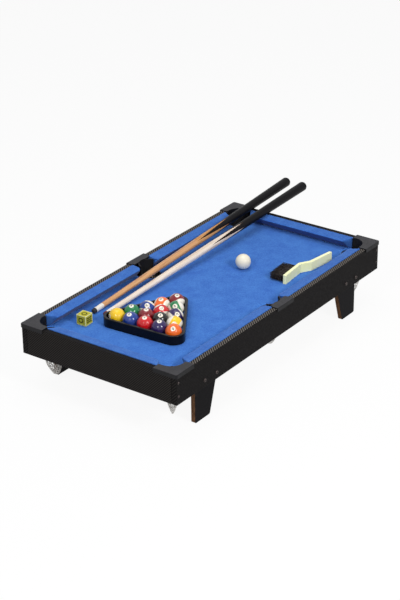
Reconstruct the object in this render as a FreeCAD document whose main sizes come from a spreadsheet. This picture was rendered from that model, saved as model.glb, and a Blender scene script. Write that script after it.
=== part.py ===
import FreeCAD, Part
import math
import os
import Sketcher

# Tabletop pool table with its playing set. Millimetres, +Z up, X along the table.
# The floor is z = 0. x = 0 is half way along the whole set, cues included.

os.makedirs("parts", exist_ok=True)
doc = FreeCAD.newDocument("mini_pool_table")
sheet = doc.addObject("Spreadsheet::Sheet", "sizes")

SIZES = [
    # frame
    ("table_length", 712, "outer length of the frame"),
    ("table_width", 366, "outer width of the frame"),
    ("frame_height", 62, "height of the frame boards"),
    ("leg_drop", 75, "floor to the underside of the frame"),
    ("panel_thick", 12, "thickness of the frame boards"),
    ("panel_round", 1.0, "wrapped edge of the frame boards"),
    ("board_gap", 0.2, "gap between boards that butt together"),
    ("seat_gap", 0.1, "gap under a piece that only rests on another"),
    ("set_middle", 64.5, "table centre back from the middle of the whole set"),
    # playing bed
    ("bed_depth", 23, "top of the rails down to the cloth"),
    ("bed_thick", 9, "bed board"),
    ("cloth_thick", 1.0, "cloth glued on the bed board"),
    ("batten_wide", 12, "strips that carry the bed board"),
    ("batten_high", 14, "height of those strips"),
    # cushions
    ("cushion_reach", 24, "rail face to cushion nose"),
    ("cushion_rise", 1.0, "cushion back above the rail top"),
    ("cushion_fall", 2.6, "cushion back down to the nose shoulder"),
    ("cushion_foot", 9, "width of the cushion where it meets the cloth"),
    ("nose_depth", 4.4, "height of the nose face"),
    ("nose_round", 9, "rounded corner beside a middle pocket"),
    ("nose_slant", 13, "how far a cushion end slants beside a corner pocket"),
    ("cushion_gap", 0.6, "cushion end to pocket casting"),
    # pockets
    ("pocket_rad", 28, "corner pocket mouth radius"),
    ("drop_rad", 21, "corner hole in the bed, towards the outer corner"),
    ("middle_rad", 21, "middle pocket mouth radius"),
    ("bed_wall", 2.5, "board left outside a corner pocket"),
    ("liner_thick", 1.6, "wall of a pocket casting"),
    ("liner_below", 6, "casting below the bed board"),
    ("cap_over", 2.0, "casting past the outer face of the frame"),
    ("cap_thick", 2.2, "casting above the rail top"),
    ("cap_corner", 4, "rounded corner of a corner casting"),
    ("cap_edge", 1.4, "rolled edge of a casting"),
    ("lip_drop", 6.3, "casting lip down the outer face"),
    ("corner_arm_past", 7.5, "casting arm past the corner pocket centre"),
    ("arm_inside", 2.0, "casting arm past the inner face of the rail"),
    ("middle_half", 28.5, "half length of a middle casting"),
    ("middle_mouth", 26, "half gap between cushions at a middle pocket"),
    # nets
    ("net_thick", 1.2, "net band thickness"),
    ("net_grip", 5.5, "net band height around the casting"),
    ("corner_net_low", 22, "corner net bottom above the floor"),
    ("middle_net_low", 38, "middle net bottom above the floor"),
    ("net_waist", 0.68, "net radius half way down against the top"),
    ("net_toe", 0.32, "net radius at the bottom against the top"),
    # legs
    ("leg_from_end", 72, "frame end to the outer edge of a leg"),
    ("leg_foot", 47, "leg width at the floor"),
    ("leg_head", 69.5, "leg width at the frame"),
    ("leg_thick", 9, "leg board"),
    ("leg_round", 4, "rounded foot corner"),
    # screws
    ("screw_head", 4, "leg screw head radius"),
    ("screw_crown", 1.8, "leg screw head height"),
    ("screw_rad", 1.6, "leg screw shank radius"),
    ("screw_inset", 16, "leg edge to the first screw"),
    ("screw_pitch", 38, "between the two screws of a leg"),
    ("screw_up", 14, "leg screws above the underside of the frame"),
    ("screw_slack", 0.15, "hole radius over shank radius"),
    ("pin_head", 2.7, "frame screw head radius"),
    ("pin_crown", 0.9, "frame screw head height"),
    ("pin_rad", 1.3, "frame screw shank radius"),
    ("pin_length", 25, "frame screw shank length"),
    ("pin_high", 17.5, "upper frame screw below the rail top"),
    ("pin_low", 45, "lower frame screw below the rail top"),
    # balls and rack
    ("ball_rad", 16, "ball radius"),
    ("ball_gap", 0.5, "gap between racked balls"),
    ("cue_ball_x", 127.3, "cue ball from the table centre"),
    ("cue_ball_y", 2.4, "cue ball from the table centre line"),
    ("rack_x", -174, "middle of the racked balls from the table centre"),
    ("rack_beside", 9.6, "rack corner to the line of the second cue tip"),
    ("rack_turn", 3.6, "rack turned on the cloth, degrees"),
    ("rack_play", 0.6, "balls to the two long inside faces"),
    ("rack_loose", 4.4, "balls to the inside face behind the last row"),
    ("rack_thick", 5.5, "rack wall"),
    ("rack_high", 19, "rack height"),
    # cues
    ("cue_length", 700, "cue, tip to butt end"),
    ("tip_rad", 5.2, "cue radius at the tip"),
    ("butt_rad", 10.3, "cue radius at the butt end"),
    ("tip_long", 7.5, "leather tip"),
    ("ferrule_long", 22, "white ferrule"),
    ("cue_joint", 345, "tip to the start of the butt"),
    ("cue_one_x", -211, "first cue tip from the table centre"),
    ("cue_one_y", 20.8, "first cue tip in from the far cushions"),
    ("cue_one_butt", 16.8, "first cue butt end in from the line of the far cushions"),
    ("cue_two_x", -209, "second cue tip from the table centre"),
    ("cue_two_y", 47.8, "second cue tip in from the far cushions"),
    ("cue_two_butt", 58.8, "second cue butt end in from the line of the far cushions"),
    # chalk
    ("chalk_wide", 22.5, "chalk cube"),
    ("chalk_high", 21, "chalk cube height"),
    ("wrap_thick", 0.6, "paper round the chalk"),
    ("chalk_x", -251, "chalk from the table centre"),
    ("chalk_y", 32.4, "chalk in from the far cushions"),
    # brush
    ("brush_x", 113, "brush head end from the table centre"),
    ("brush_y", 39.3, "brush head end in from the near cushions"),
    ("brush_turn", 5, "brush turned on the cloth, degrees"),
    ("brush_head", 66, "straight part that carries the bristles"),
    ("brush_bend", 20, "length of the bend"),
    ("brush_step", 15, "sideways step of the bend"),
    ("brush_grip", 63, "length of the grip"),
    ("brush_lean", 14, "sideways run of the grip"),
    ("brush_thick", 7, "handle thickness"),
    ("brush_wide", 19, "handle width, standing on the cloth"),
    ("bristle_long", 33, "free length of the bristles"),
    ("bristle_wide", 15, "bristle block width"),
    ("bristle_inset", 3, "bristles in from the head end"),
]

for row, (alias, value, note) in enumerate(SIZES, start=1):
    sheet.set("A%d" % row, note)
    sheet.set("B%d" % row, str(value))
    sheet.setAlias("B%d" % row, alias)
doc.recompute()


class Size:
    """A length kept both as its number and as the sheet formula it comes from."""

    def __init__(self, value, text):
        self.value = float(value)
        self.text = text

    def __add__(self, other):
        o = size(other)
        return Size(self.value + o.value, "(%s + %s)" % (self.text, o.text))

    def __radd__(self, other):
        return size(other) + self

    def __sub__(self, other):
        o = size(other)
        return Size(self.value - o.value, "(%s - %s)" % (self.text, o.text))

    def __rsub__(self, other):
        return size(other) - self

    def __mul__(self, other):
        o = size(other)
        return Size(self.value * o.value, "(%s * %s)" % (self.text, o.text))

    def __rmul__(self, other):
        return size(other) * self

    def __truediv__(self, other):
        o = size(other)
        return Size(self.value / o.value, "(%s / %s)" % (self.text, o.text))

    def __neg__(self):
        return Size(-self.value, "(0 - %s)" % self.text)


def size(x):
    return x if isinstance(x, Size) else Size(x, repr(float(x)))


def atan_of(x):
    return Size(math.degrees(math.atan(x.value)), "(atan(%s) / 1deg)" % x.text)


def root_of(x):
    return Size(math.sqrt(x.value), "sqrt(%s)" % x.text)


S = {alias: Size(value, "sizes." + alias) for alias, value, note in SIZES}

# shared heights and lines
half_length = S["table_length"] / 2
half_width = S["table_width"] / 2
rail_top = S["leg_drop"] + S["frame_height"]
cloth_top = rail_top - S["bed_depth"]
board_top = cloth_top - S["cloth_thick"]
board_low = board_top - S["bed_thick"]
inner = S["panel_thick"] + S["board_gap"]
corner_liner = S["pocket_rad"] + S["liner_thick"]
drop_liner = S["drop_rad"] + S["liner_thick"]
middle_liner = S["middle_rad"] + S["liner_thick"]
corner_in = inner + S["bed_wall"] + S["board_gap"] + corner_liner
ROOT2 = math.sqrt(2.0)
drop_in = corner_in - (S["pocket_rad"] - S["drop_rad"]) / ROOT2
middle_in = inner + S["net_thick"] + S["board_gap"] + middle_liner
corner_arm = corner_in + S["corner_arm_past"]
nose_line = half_width - inner - S["cushion_reach"]
liner_deep = S["bed_depth"] + S["cloth_thick"] + S["bed_thick"] + S["liner_below"]
pitch = 2 * S["ball_rad"] + S["ball_gap"]
ROOT3 = math.sqrt(3.0)


# ---------------------------------------------------------------- helpers
def plane_of(body, role):
    return [f for f in body.Origin.OriginFeatures if f.Role == role][0]


def new_body(label):
    body = doc.addObject("PartDesign::Body", label)
    body.Label = label
    return body


def new_sketch(body, name, role="XY_Plane", offset=None):
    sk = body.newObject("Sketcher::SketchObject", name)
    sk.AttachmentSupport = [(plane_of(body, role), "")]
    sk.MapMode = "FlatFace"
    if offset is not None:
        off = size(offset)
        sk.AttachmentOffset = FreeCAD.Placement(FreeCAD.Vector(0, 0, off.value), FreeCAD.Rotation())
        sk.setExpression("AttachmentOffset.Base.z", off.text)
    return sk


def fix(sk, kind, name, geo, pos, target):
    k = sk.addConstraint(Sketcher.Constraint(kind, -1, 1, geo, pos, target.value))
    sk.renameConstraint(k, name)
    sk.setExpression("Constraints." + name, target.text)


def outline(sk, points, tag=""):
    """Closed outline. A point is (x, y), or (x, y, cx, cy, r) when an arc leads on from it."""
    pts = [tuple(size(v) for v in p) for p in points]
    n = len(pts)
    first = sk.GeometryCount
    ends = []
    for i in range(n):
        p = pts[i]
        q = pts[(i + 1) % n]
        a = FreeCAD.Vector(p[0].value, p[1].value, 0)
        b = FreeCAD.Vector(q[0].value, q[1].value, 0)
        if len(p) == 2:
            sk.addGeometry(Part.LineSegment(a, b), False)
            ends.append((1, 2))
            continue
        c = FreeCAD.Vector(p[2].value, p[3].value, 0)
        turn = (a - c).cross(b - c).z
        start, stop = (a, b) if turn > 0 else (b, a)
        a0 = math.atan2(start.y - c.y, start.x - c.x)
        a1 = math.atan2(stop.y - c.y, stop.x - c.x)
        if a1 < a0:
            a1 += 2 * math.pi
        circle = Part.Circle(c, FreeCAD.Vector(0, 0, 1), (a - c).Length)
        sk.addGeometry(Part.ArcOfCircle(circle, a0, a1), False)
        ends.append((1, 2) if turn > 0 else (2, 1))
    for i in range(n):
        j = (i + 1) % n
        sk.addConstraint(Sketcher.Constraint("Coincident", first + i, ends[i][1], first + j, ends[j][0]))
    for i in range(n):
        fix(sk, "DistanceX", "%sx%d" % (tag, i), first + i, ends[i][0], pts[i][0])
        fix(sk, "DistanceY", "%sy%d" % (tag, i), first + i, ends[i][0], pts[i][1])
        if len(pts[i]) == 5:
            k = sk.addConstraint(Sketcher.Constraint("Radius", first + i, pts[i][4].value))
            name = "%sr%d" % (tag, i)
            sk.renameConstraint(k, name)
            sk.setExpression("Constraints." + name, pts[i][4].text)


def circle(sk, x, y, r, tag="c"):
    x, y, r = size(x), size(y), size(r)
    centre = FreeCAD.Vector(x.value, y.value, 0)
    g = sk.addGeometry(Part.Circle(centre, FreeCAD.Vector(0, 0, 1), r.value), False)
    fix(sk, "DistanceX", tag + "x", g, 3, x)
    fix(sk, "DistanceY", tag + "y", g, 3, y)
    k = sk.addConstraint(Sketcher.Constraint("Radius", g, r.value))
    sk.renameConstraint(k, tag + "r")
    sk.setExpression("Constraints." + tag + "r", r.text)


def pad(body, sk, length, name, down=False):
    f = body.newObject("PartDesign::Pad", name)
    f.Profile = sk
    f.Length = size(length).value
    f.setExpression("Length", size(length).text)
    f.Reversed = down
    sk.Visibility = False
    return f


def pocket(body, sk, name, depth=None, up=False):
    """Cuts below the sketch plane (above it with up), or right through both ways."""
    f = body.newObject("PartDesign::Pocket", name)
    f.Profile = sk
    if depth is None:
        f.Type = "ThroughAll"
        f.Midplane = True
    else:
        f.Length = size(depth).value
        f.setExpression("Length", size(depth).text)
        f.Reversed = up
    sk.Visibility = False
    return f


def turn_about(body, sk, axis, name):
    f = body.newObject("PartDesign::Revolution", name)
    f.Profile = sk
    f.ReferenceAxis = (sk, [axis])
    f.Angle = 360.0
    sk.Visibility = False
    return f


def edges_where(feature, test):
    names = []
    for k, e in enumerate(feature.Shape.Edges, start=1):
        ends = [v.Point for v in e.Vertexes]
        if len(ends) == 2 and test(ends[0], ends[1], e):
            names.append("Edge%d" % k)
    return names


def fillet(body, feature, radius, test, name):
    doc.recompute()
    f = body.newObject("PartDesign::Fillet", name)
    f.Base = (feature, edges_where(feature, test))
    f.Radius = size(radius).value
    f.setExpression("Radius", size(radius).text)
    return f


def frame_text(x, y, z, yaw=0, lean=0):
    parts = tuple(size(v).text for v in (x, y, z, yaw, lean))
    return "create(<<placement>>; create(<<vector>>; %s; %s; %s); create(<<rotation>>; %s; %s; 0))" % parts


def place(obj, x, y, z, yaw=0, lean=0):
    """x and y from the table centre, z from the floor."""
    obj.setExpression("Placement", frame_text(size(x) - S["set_middle"], y, z, yaw, lean))


def same(a, b, tol=1e-3):
    return abs(a - b) < tol


def upright(a, b, e):
    return same(a.x, b.x) and same(a.y, b.y) and not same(a.z, b.z)


NODES = []


def keep(obj, label=None):
    if label:
        obj.Label = label
    NODES.append(obj)
    return obj


# ---------------------------------------------------------------- frame boards
def screw_spots():
    """Leg screw places along a side board, from its middle."""
    a = half_length - S["leg_from_end"] - S["screw_inset"]
    b = a - S["screw_pitch"]
    return [-a, -b, b, a]


def side_panel(label, y):
    body = new_body(label)
    sk = new_sketch(body, label + "_plan")
    t = S["panel_thick"]
    outline(sk, [(-half_length, 0), (half_length, 0), (half_length, t), (-half_length, t)])
    f = pad(body, sk, S["frame_height"], label + "_board")
    fillet(body, f, S["panel_round"], lambda a, b, e: True, label + "_edges")
    sk = new_sketch(body, label + "_holes", "XZ_Plane")
    up = S["screw_up"]
    for i, x in enumerate(screw_spots()):
        circle(sk, x, up, S["screw_rad"] + S["screw_slack"], "leg%d" % i)
    for i, side in enumerate((-1, 1)):
        for j, drop in enumerate(("pin_high", "pin_low")):
            x = side * (half_length - t / 2)
            circle(sk, x, S["frame_height"] - S[drop], S["pin_rad"] + S["screw_slack"], "pin%d%d" % (i, j))
    pocket(body, sk, label + "_drill")
    place(body, 0, y, S["leg_drop"])
    keep(body)


side_panel("side_panel_near", -half_width)
side_panel("side_panel_far", half_width - S["panel_thick"])


def end_panel(label, x):
    body = new_body(label)
    reach = half_width - inner
    t = S["panel_thick"]
    sk = new_sketch(body, label + "_plan")
    outline(sk, [(0, -reach), (t, -reach), (t, reach), (0, reach)])
    f = pad(body, sk, S["frame_height"], label + "_board")
    fillet(body, f, S["panel_round"], lambda a, b, e: True, label + "_edges")
    bite = S["pin_length"] - inner + 1
    for side, name in ((-1, "near"), (1, "far")):
        sk = new_sketch(body, label + "_" + name, "XZ_Plane", -side * reach)
        for j, drop in enumerate(("pin_high", "pin_low")):
            z = S["frame_height"] - S[drop]
            circle(sk, t / 2, z, S["pin_rad"] + S["screw_slack"], "pin%d" % j)
        pocket(body, sk, label + "_drill_" + name, bite, up=(side > 0))
    place(body, x, 0, S["leg_drop"])
    keep(body)


end_panel("end_panel_left", -half_length)
end_panel("end_panel_right", half_length - S["panel_thick"])


# ---------------------------------------------------------------- bed
def bed_layer(label, thick, z, slack):
    """Board or cloth, open at the six pockets."""
    body = new_body(label)
    lx = half_length - inner
    ly = half_width - inner
    sk = new_sketch(body, label + "_plan")
    outline(sk, [(-lx, -ly), (lx, -ly), (lx, ly), (-lx, ly)])
    pad(body, sk, thick, label + "_sheet")
    sk = new_sketch(body, label + "_corners")
    k = 0
    for sx in (-1, 1):
        for sy in (-1, 1):
            x = sx * (half_length - drop_in)
            y = sy * (half_width - drop_in)
            circle(sk, x, y, drop_liner + slack, "hole%d" % k)
            k += 1
    pocket(body, sk, label + "_corner_holes")
    r = middle_liner + slack
    for sy, name in ((-1, "near"), (1, "far")):
        sk = new_sketch(body, label + "_" + name)
        yc = sy * (half_width - middle_in)
        ye = sy * (half_width + 1)
        outline(sk, [(-r, ye), (-r, yc, 0, yc, r), (0, yc - sy * r, 0, yc, r), (r, yc), (r, ye)])
        pocket(body, sk, label + "_notch_" + name)
    place(body, 0, 0, z)
    keep(body)


bed_layer("bed_board", S["bed_thick"], board_low, S["board_gap"])
bed_layer("bed_cloth", S["cloth_thick"], board_top, S["board_gap"])

# strips under the bed board: between the legs along the sides, and across the ends
strips = []


def strip(name, x, y, long_x, long_y):
    box = doc.addObject("Part::Box", name)
    box.setExpression("Length", size(long_x).text)
    box.setExpression("Width", size(long_y).text)
    box.setExpression("Height", S["batten_high"].text)
    place(box, x, y, board_low - S["batten_high"])
    strips.append(box)


clear = S["leg_from_end"] + S["leg_head"] + 6
side_run = half_length - clear - middle_liner - S["net_thick"] - 6
for sx, xname in ((-1, "left"), (1, "right")):
    x0 = middle_liner + S["net_thick"] + 6
    x = x0 if sx > 0 else -(x0 + side_run)
    strip("batten_near_" + xname, x, -half_width + inner, side_run, S["batten_wide"])
    strip("batten_far_" + xname, x, half_width - inner - S["batten_wide"], side_run, S["batten_wide"])
end_run = 2 * (half_width - drop_in - drop_liner - S["net_thick"] - 6)
strip("batten_left", -half_length + inner, -end_run / 2, S["batten_wide"], end_run)
strip("batten_right", half_length - inner - S["batten_wide"], -end_run / 2, S["batten_wide"], end_run)
battens = doc.addObject("Part::Compound", "bed_battens")
battens.Links = strips
keep(battens, "bed_battens")

# ---------------------------------------------------------------- cushions
cushion_start = corner_arm + S["cushion_gap"]
back_top = S["bed_depth"] + S["cushion_rise"]
shoulder = back_top - S["cushion_fall"]


def cushion_block(body, label, run):
    """Section swept along x: back at y = 0, nose at y = cushion_reach, cloth at z = 0."""
    sk = new_sketch(body, label + "_section", "YZ_Plane")
    reach = S["cushion_reach"]
    nose = shoulder - S["nose_depth"] / 2
    under = shoulder - S["nose_depth"]
    profile = [(0, 0), (S["cushion_foot"], 0), (reach - 2, under), (reach, nose)]
    profile += [(reach - 2, shoulder), (0, back_top)]
    outline(sk, profile)
    f = pad(body, sk, run, label + "_core")
    level = [under.value, nose.value, shoulder.value]

    def nose_edge(a, b, e):
        return same(a.y, b.y) and same(a.z, b.z) and any(same(a.z, z) for z in level) and a.y > 1
    return fillet(body, f, 1.2, nose_edge, label + "_nose")


def slanted_end(body, label, x, way):
    """Slant at a corner pocket: the back of the cushion ends at x, the nose further in."""
    sk = new_sketch(body, label)
    reach = S["cushion_reach"]
    slope = S["nose_slant"] / reach
    far = x - way * 5
    back = x - way * slope
    tip = x + way * (S["nose_slant"] + slope)
    outline(sk, [(far, -1), (back, -1), (tip, reach + 1), (far, reach + 1)])
    pocket(body, sk, label + "_cut")


def rounded_end(body, label, x, way):
    """Square end beside a middle pocket with the nose corner rounded off."""
    sk = new_sketch(body, label)
    reach = S["cushion_reach"]
    r = S["nose_round"]
    cx = x + way * r
    cy = reach - r
    pts = [(x, cy, cx, cy, r), (cx, reach), (cx, reach + 3), (x - way * 3, reach + 3), (x - way * 3, cy)]
    outline(sk, pts)
    pocket(body, sk, label + "_cut")


def side_cushion(label, corner_left, x, y, yaw):
    body = new_body(label)
    run = half_length - cushion_start - S["middle_mouth"]
    cushion_block(body, label, run)
    if corner_left:
        slanted_end(body, label + "_corner", size(0), 1)
        rounded_end(body, label + "_middle", run, -1)
    else:
        slanted_end(body, label + "_corner", run, -1)
        rounded_end(body, label + "_middle", size(0), 1)
    place(body, x, y, cloth_top + S["seat_gap"], yaw)
    keep(body)


near_line = -half_width + inner
side_cushion("cushion_near_left", True, -half_length + cushion_start, near_line, 0)
side_cushion("cushion_near_right", False, S["middle_mouth"], near_line, 0)
side_cushion("cushion_far_right", True, half_length - cushion_start, -near_line, 180)
side_cushion("cushion_far_left", False, -S["middle_mouth"], -near_line, 180)


def end_cushion(label, x, y, yaw):
    body = new_body(label)
    run = 2 * (half_width - cushion_start)
    cushion_block(body, label, run)
    slanted_end(body, label + "_a", size(0), 1)
    slanted_end(body, label + "_b", run, -1)
    place(body, x, y, cloth_top + S["seat_gap"], yaw)
    keep(body)


end_cushion("cushion_left", -half_length + inner, half_width - cushion_start, -90)
end_cushion("cushion_right", half_length - inner, -half_width + cushion_start, 90)


# ---------------------------------------------------------------- pocket castings
def collar(body, label, x, y, r_in, r_out, start):
    """Ring through the cloth and the bed board, where the net hangs."""
    sk = new_sketch(body, label + "_ring", "XY_Plane", -start)
    circle(sk, x, y, r_out, "outer")
    circle(sk, x, y, r_in, "inside")
    return pad(body, sk, liner_deep - start, label + "_collar", down=True)


def corner_casting(label, x, y, yaw):
    """Local origin at the outer corner of the frame on the rail top, x and y inward."""
    body = new_body(label)
    p = corner_in
    o = S["cap_over"]
    arm = corner_arm
    deep = S["bed_depth"] - S["seat_gap"]
    w = S["panel_thick"] + S["arm_inside"]
    sk = new_sketch(body, label + "_wall")
    circle(sk, p, p, corner_liner, "outer")
    circle(sk, p, p, S["pocket_rad"], "inside")
    pad(body, sk, deep, label + "_liner", down=True)
    sk = new_sketch(body, label + "_open")
    edge = 2 * p - 0.7 * S["pocket_rad"]
    far = p + corner_liner + 4
    outline(sk, [(edge - far, far), (far, edge - far), (far, far)])
    pocket(body, sk, label + "_front", S["bed_depth"])
    collar(body, label, drop_in, drop_in, S["drop_rad"], drop_liner, deep)
    sk = new_sketch(body, label + "_cap")
    c = S["cap_corner"]
    outer = [(-o, c - o, c - o, c - o, c), (c - o, -o), (arm, -o), (arm, w), (w, arm), (-o, arm)]
    outline(sk, outer)
    pad(body, sk, S["cap_thick"], label + "_plate")
    sk = new_sketch(body, label + "_bite", "XY_Plane", S["cap_thick"])
    circle(sk, p, p, S["pocket_rad"], "mouth")
    pocket(body, sk, label + "_mouth", S["cap_thick"])
    g = S["board_gap"]
    sk = new_sketch(body, label + "_skirt")
    skirt = [(-o, c - o, c - o, c - o, c), (c - o, -o), (arm, -o), (arm, -g), (-g, -g), (-g, arm), (-o, arm)]
    outline(sk, skirt)
    f = pad(body, sk, S["lip_drop"], label + "_lip", down=True)
    top = S["cap_thick"].value

    rim = S["cap_over"].value

    def outer_top(a, b, e):
        box = e.BoundBox
        on_side = same(box.XMax, -rim) or same(box.YMax, -rim)
        on_corner = box.XMax < c.value and box.YMax < c.value
        return same(a.z, top) and same(b.z, top) and (on_side or on_corner)
    fillet(body, f, S["cap_edge"], outer_top, label + "_roll")
    place(body, x, y, rail_top, yaw)
    keep(body)


corner_casting("corner_casting_near_left", -half_length, -half_width, 0)
corner_casting("corner_casting_near_right", half_length, -half_width, 90)
corner_casting("corner_casting_far_right", half_length, half_width, 180)
corner_casting("corner_casting_far_left", -half_length, half_width, 270)


def middle_casting(label, y, yaw):
    """Local origin on the outer face at mid length on the rail top, y inward."""
    body = new_body(label)
    p = middle_in
    o = S["cap_over"]
    a = S["middle_half"]
    b = S["middle_mouth"] - S["cushion_gap"]
    t = S["panel_thick"]
    w = p - S["middle_rad"] + 2
    sk = new_sketch(body, label + "_wall")
    circle(sk, 0, p, middle_liner, "outer")
    circle(sk, 0, p, S["middle_rad"], "inside")
    pad(body, sk, S["bed_depth"], label + "_liner", down=True)
    sk = new_sketch(body, label + "_open")
    edge = p - 0.3 * S["middle_rad"]
    far = p + middle_liner + 4
    side = middle_liner + 4
    outline(sk, [(-side, edge), (side, edge), (side, far), (-side, far)])
    pocket(body, sk, label + "_front", S["bed_depth"])
    collar(body, label, 0, p, S["middle_rad"], middle_liner, S["bed_depth"])
    sk = new_sketch(body, label + "_cap")
    outline(sk, [(-a, -o), (a, -o), (a, t), (b, t), (b, w), (-b, w), (-b, t), (-a, t)])
    pad(body, sk, S["cap_thick"], label + "_plate")
    sk = new_sketch(body, label + "_bite", "XY_Plane", S["cap_thick"])
    circle(sk, 0, p, S["middle_rad"], "mouth")
    pocket(body, sk, label + "_mouth", S["cap_thick"])
    g = S["board_gap"]
    sk = new_sketch(body, label + "_skirt", "XZ_Plane", g)
    d = S["lip_drop"]
    r = 3
    skirt = [(-a, 0), (-a, r - d, r - a, r - d, r), (r - a, -d), (a - r, -d, a - r, r - d, r), (a, r - d), (a, 0)]
    outline(sk, skirt)
    f = pad(body, sk, o - g, label + "_lip")
    top = S["cap_thick"].value

    def outer_top(u, v, e):
        return same(u.z, top) and same(v.z, top) and same(u.y, -o.value) and same(v.y, -o.value)
    fillet(body, f, S["cap_edge"], outer_top, label + "_roll")
    place(body, 0, y, rail_top, yaw)
    keep(body)


middle_casting("middle_casting_near", -half_width, 0)
middle_casting("middle_casting_far", half_width, 180)


# ---------------------------------------------------------------- nets
def net(label, x, y, liner, low):
    """Bag hung on the outside of a casting collar, closed at the bottom."""
    body = new_body(label)
    k = S["net_thick"]
    top = board_low - S["board_gap"]
    grip = top - S["net_grip"]
    r = liner + S["board_gap"]
    fall = grip - low
    sk = new_sketch(body, label + "_profile", "XZ_Plane")
    levels = [(r, top), (r, grip)]
    levels.append((r * 0.86, grip - fall * 0.25))
    levels.append((r * S["net_waist"], grip - fall * 0.7))
    levels.append((r * S["net_toe"], low + k))
    outer = [(q + k, z) for q, z in levels[:-1]]
    outer.append((levels[-1][0] + k, low))
    outer.append((0, low))
    rest = [(0, low + k)] + levels[::-1]
    outline(sk, outer + rest)
    turn_about(body, sk, "V_Axis", label + "_bag")
    place(body, x, y, 0)
    keep(body)


for sx, xname in ((-1, "left"), (1, "right")):
    for sy, yname in ((-1, "near"), (1, "far")):
        x = sx * (half_length - drop_in)
        y = sy * (half_width - drop_in)
        net("net_%s_%s" % (yname, xname), x, y, drop_liner, S["corner_net_low"])
net("net_near_middle", 0, -half_width + middle_in, middle_liner, S["middle_net_low"])
net("net_far_middle", 0, half_width - middle_in, middle_liner, S["middle_net_low"])


# ---------------------------------------------------------------- legs
def leg(label, x, y, yaw):
    """Flat board: upright outer edge at x = 0, slanted inner edge, screwed behind the side."""
    body = new_body(label)
    sk = new_sketch(body, label + "_face", "XZ_Plane")
    top = board_low - S["board_gap"]
    foot, head, drop = S["leg_foot"], S["leg_head"], S["leg_drop"]
    outline(sk, [(0, 0), (foot, 0), (head, drop), (head, top), (0, top)])
    f = pad(body, sk, S["leg_thick"], label + "_board", down=True)

    def foot_edge(a, b, e):
        return same(a.z, 0) and same(b.z, 0) and same(a.x, b.x)
    fillet(body, f, S["leg_round"], foot_edge, label + "_foot")
    sk = new_sketch(body, label + "_holes", "XZ_Plane")
    z = drop + S["screw_up"]
    r = S["screw_rad"] + S["screw_slack"]
    circle(sk, S["screw_inset"], z, r, "one")
    circle(sk, S["screw_inset"] + S["screw_pitch"], z, r, "two")
    pocket(body, sk, label + "_drill")
    place(body, x, y, 0, yaw)
    keep(body)


leg_x = half_length - S["leg_from_end"]
leg_in = half_width - inner
leg("leg_near_left", -leg_x, -leg_in, 0)
leg("leg_near_right", leg_x, -leg_in + S["leg_thick"], 180)
leg("leg_far_left", -leg_x, leg_in - S["leg_thick"], 0)
leg("leg_far_right", leg_x, leg_in, 180)


# ---------------------------------------------------------------- screws
def fastener(name, head, crown, shank, length, x, y, z, near):
    """Domed head with a cross slot, shank along y. near is True on the near side."""
    way = 1 if near else -1
    turn = -90 if near else 90
    top = doc.addObject("Part::Cone", name + "_head")
    top.setExpression("Radius1", (head * 0.72).text)
    top.setExpression("Radius2", head.text)
    top.setExpression("Height", crown.text)
    stem = doc.addObject("Part::Cylinder", name + "_stem")
    stem.setExpression("Radius", shank.text)
    stem.setExpression("Height", length.text)
    solid = doc.addObject("Part::Fuse", name + "_solid")
    solid.Base = top
    solid.Tool = stem
    slots = []
    for k in range(2):
        bar = doc.addObject("Part::Box", "%s_bar%d" % (name, k))
        long, wide = (head * 1.1, head * 0.24)
        lx, ly = (long, wide) if k == 0 else (wide, long)
        bar.setExpression("Length", lx.text)
        bar.setExpression("Width", ly.text)
        bar.setExpression("Height", crown.text)
        spot = (lx / -2, ly / -2, crown * -0.45)
        flat = "create(<<vector>>; %s; %s; %s)" % tuple(v.text for v in spot)
        bar.setExpression("Placement.Base", flat)
        slots.append(bar)
    cross = doc.addObject("Part::MultiFuse", name + "_cross")
    cross.Shapes = slots
    screw = doc.addObject("Part::Cut", name)
    screw.Base = solid
    screw.Tool = cross
    # the stem starts inside the head; head and stem share the z axis of the screw
    stem.setExpression("Placement.Base.z", crown.text)
    roll = "create(<<rotation>>; 0; 0; %d)" % turn
    where = (size(x) - S["set_middle"], size(y) - way * crown, size(z))
    spot = "create(<<vector>>; %s; %s; %s)" % tuple(v.text for v in where)
    screw.setExpression("Placement", "create(<<placement>>; %s; %s)" % (spot, roll))
    return screw


leg_screws = []
frame_screws = []
reach = S["panel_thick"] + S["board_gap"] + S["leg_thick"] - 1
for near in (True, False):
    yname = "near" if near else "far"
    y = -half_width if near else half_width
    for i, x in enumerate(screw_spots()):
        name = "leg_screw_%s_%d" % (yname, i)
        z = S["leg_drop"] + S["screw_up"]
        args = (S["screw_head"], S["screw_crown"], S["screw_rad"], reach)
        leg_screws.append(fastener(name, *args, x, y, z, near))
    for i, side in enumerate((-1, 1)):
        for j, drop in enumerate(("pin_high", "pin_low")):
            name = "frame_screw_%s_%d%d" % (yname, i, j)
            x = side * (half_length - S["panel_thick"] / 2)
            z = rail_top - S[drop]
            args = (S["pin_head"], S["pin_crown"], S["pin_rad"], S["pin_length"])
            frame_screws.append(fastener(name, *args, x, y, z, near))
for label, group in (("leg_screws", leg_screws), ("frame_screws", frame_screws)):
    bundle = doc.addObject("Part::Compound", label)
    bundle.Links = group
    keep(bundle, label)


# ---------------------------------------------------------------- cues
def cue_radius(d):
    return S["tip_rad"] + (S["butt_rad"] - S["tip_rad"]) * (d / S["cue_length"])


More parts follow.
